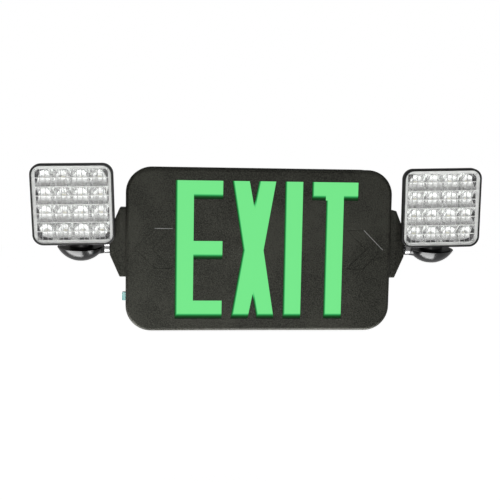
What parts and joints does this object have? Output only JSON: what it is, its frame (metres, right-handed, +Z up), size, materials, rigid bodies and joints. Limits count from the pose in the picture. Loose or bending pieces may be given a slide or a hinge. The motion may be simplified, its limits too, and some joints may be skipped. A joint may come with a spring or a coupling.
{
  "type": "emergency exit light",
  "caption": "Wall-mounted emergency exit sign with a lit green legend, and a square prismatic lamp head on a swivelling arm at each side.",
  "frame": {"origin": "centre of the back of the housing, midway between the two wall screws, where it meets the wall", "axes": "+X to the right as the sign is read, +Y out of the back into the wall, +Z up"},
  "size_m": [0.4947, 0.0609, 0.1847],
  "materials": {
    "black_casing": "fine-textured black ABS moulding",
    "black_knuckle": "semi-gloss black moulding",
    "lamp_black": "satin black moulding",
    "legend_green": "translucent green acrylic, lit from behind",
    "white_reflector": "white moulded light box",
    "board_green": "glass-epoxy circuit board",
    "board_white": "white solder mask",
    "led_yellow": "white LED phosphor",
    "led_green": "green LED lens",
    "screw_steel": "zinc-plated steel",
    "core_steel": "laminated core with a taped coil",
    "capacitor_sleeve": "dark blue sleeve",
    "terminal_grey": "nylon",
    "cell_wrap": "shrink-wrapped cells",
    "strap_nylon": "nylon",
    "switch_black": "moulded switch",
    "teal_button": "translucent blue-green plastic",
    "clear_lens": "clear prismatic polycarbonate",
    "mirror_cups": "vacuum-metallised plastic"
  },
  "bodies": {
    "housing": {"back_housing": "black_casing", "faceplate": "black_casing", "legend_diffuser": "legend_green", "light_tray": "white_reflector", "tray_screws": "screw_steel", "upper_led_board": "board_white", "upper_leds": "led_green", "lower_led_board": "board_white", "lower_leds": "led_green", "control_board": "board_green", "board_screws": "screw_steel", "transformer": "core_steel", "board_capacitors": "capacitor_sleeve", "terminal_block": "terminal_grey", "battery_pack": "cell_wrap", "battery_strap": "strap_nylon", "strap_rivets": "strap_nylon", "test_switch_board": "board_green", "test_switch": "switch_black", "left_pod": "black_casing", "left_pod_screws": "screw_steel", "right_pod": "black_casing", "right_pod_screws": "screw_steel"},
    "left_elbow": {"left_elbow": "black_knuckle", "left_neck_ring": "black_knuckle", "left_neck_clip": "screw_steel"},
    "left_head": {"left_lamp_housing": "lamp_black", "left_bezel": "lamp_black", "left_lens": "clear_lens", "left_reflector": "mirror_cups", "left_lamp_board": "board_white", "left_lamp_leds": "led_yellow", "left_swivel_dome": "lamp_black", "left_swivel_post": "screw_steel", "left_swivel_washer": "screw_steel", "left_swivel_nut": "screw_steel"},
    "right_elbow": {"right_elbow": "black_knuckle", "right_neck_ring": "black_knuckle", "right_neck_clip": "screw_steel"},
    "right_head": {"right_lamp_housing": "lamp_black", "right_bezel": "lamp_black", "right_lens": "clear_lens", "right_reflector": "mirror_cups", "right_lamp_board": "board_white", "right_lamp_leds": "led_yellow", "right_swivel_dome": "lamp_black", "right_swivel_post": "screw_steel", "right_swivel_washer": "screw_steel", "right_swivel_nut": "screw_steel"},
    "test_button": {"test_button": "teal_button"}
  },
  "joints": [
    {"name": "left_head_tilt", "type": "hinge", "parent": "housing", "child": "left_elbow", "pos_m": [-0.1962, -0.0275, 0.0047], "axis": [1, 0, 0], "range_deg": [-8, 49]},
    {"name": "left_head_pan", "type": "hinge", "parent": "left_elbow", "child": "left_head", "pos_m": [-0.1962, -0.02855, 0.01434], "axis": [-0.0296, -0.1066, 0.9939], "range_deg": [-35.5, 1.8]},
    {"name": "right_head_tilt", "type": "hinge", "parent": "housing", "child": "right_elbow", "pos_m": [0.1979, -0.0275, 0.0047], "axis": [1, 0, 0], "range_deg": [-7, 49]},
    {"name": "right_head_pan", "type": "hinge", "parent": "right_elbow", "child": "right_head", "pos_m": [0.1979, -0.02841, 0.01436], "axis": [-0.0314, -0.0936, 0.9951], "range_deg": [-1.5, 38.5]},
    {"name": "test_button_press", "type": "slide", "parent": "housing", "child": "test_button", "axis": [1, 0, 0], "range_m": [0, 0.0015], "stiffness_N_per_m": 400, "springref_m": -0.003}
  ]
}
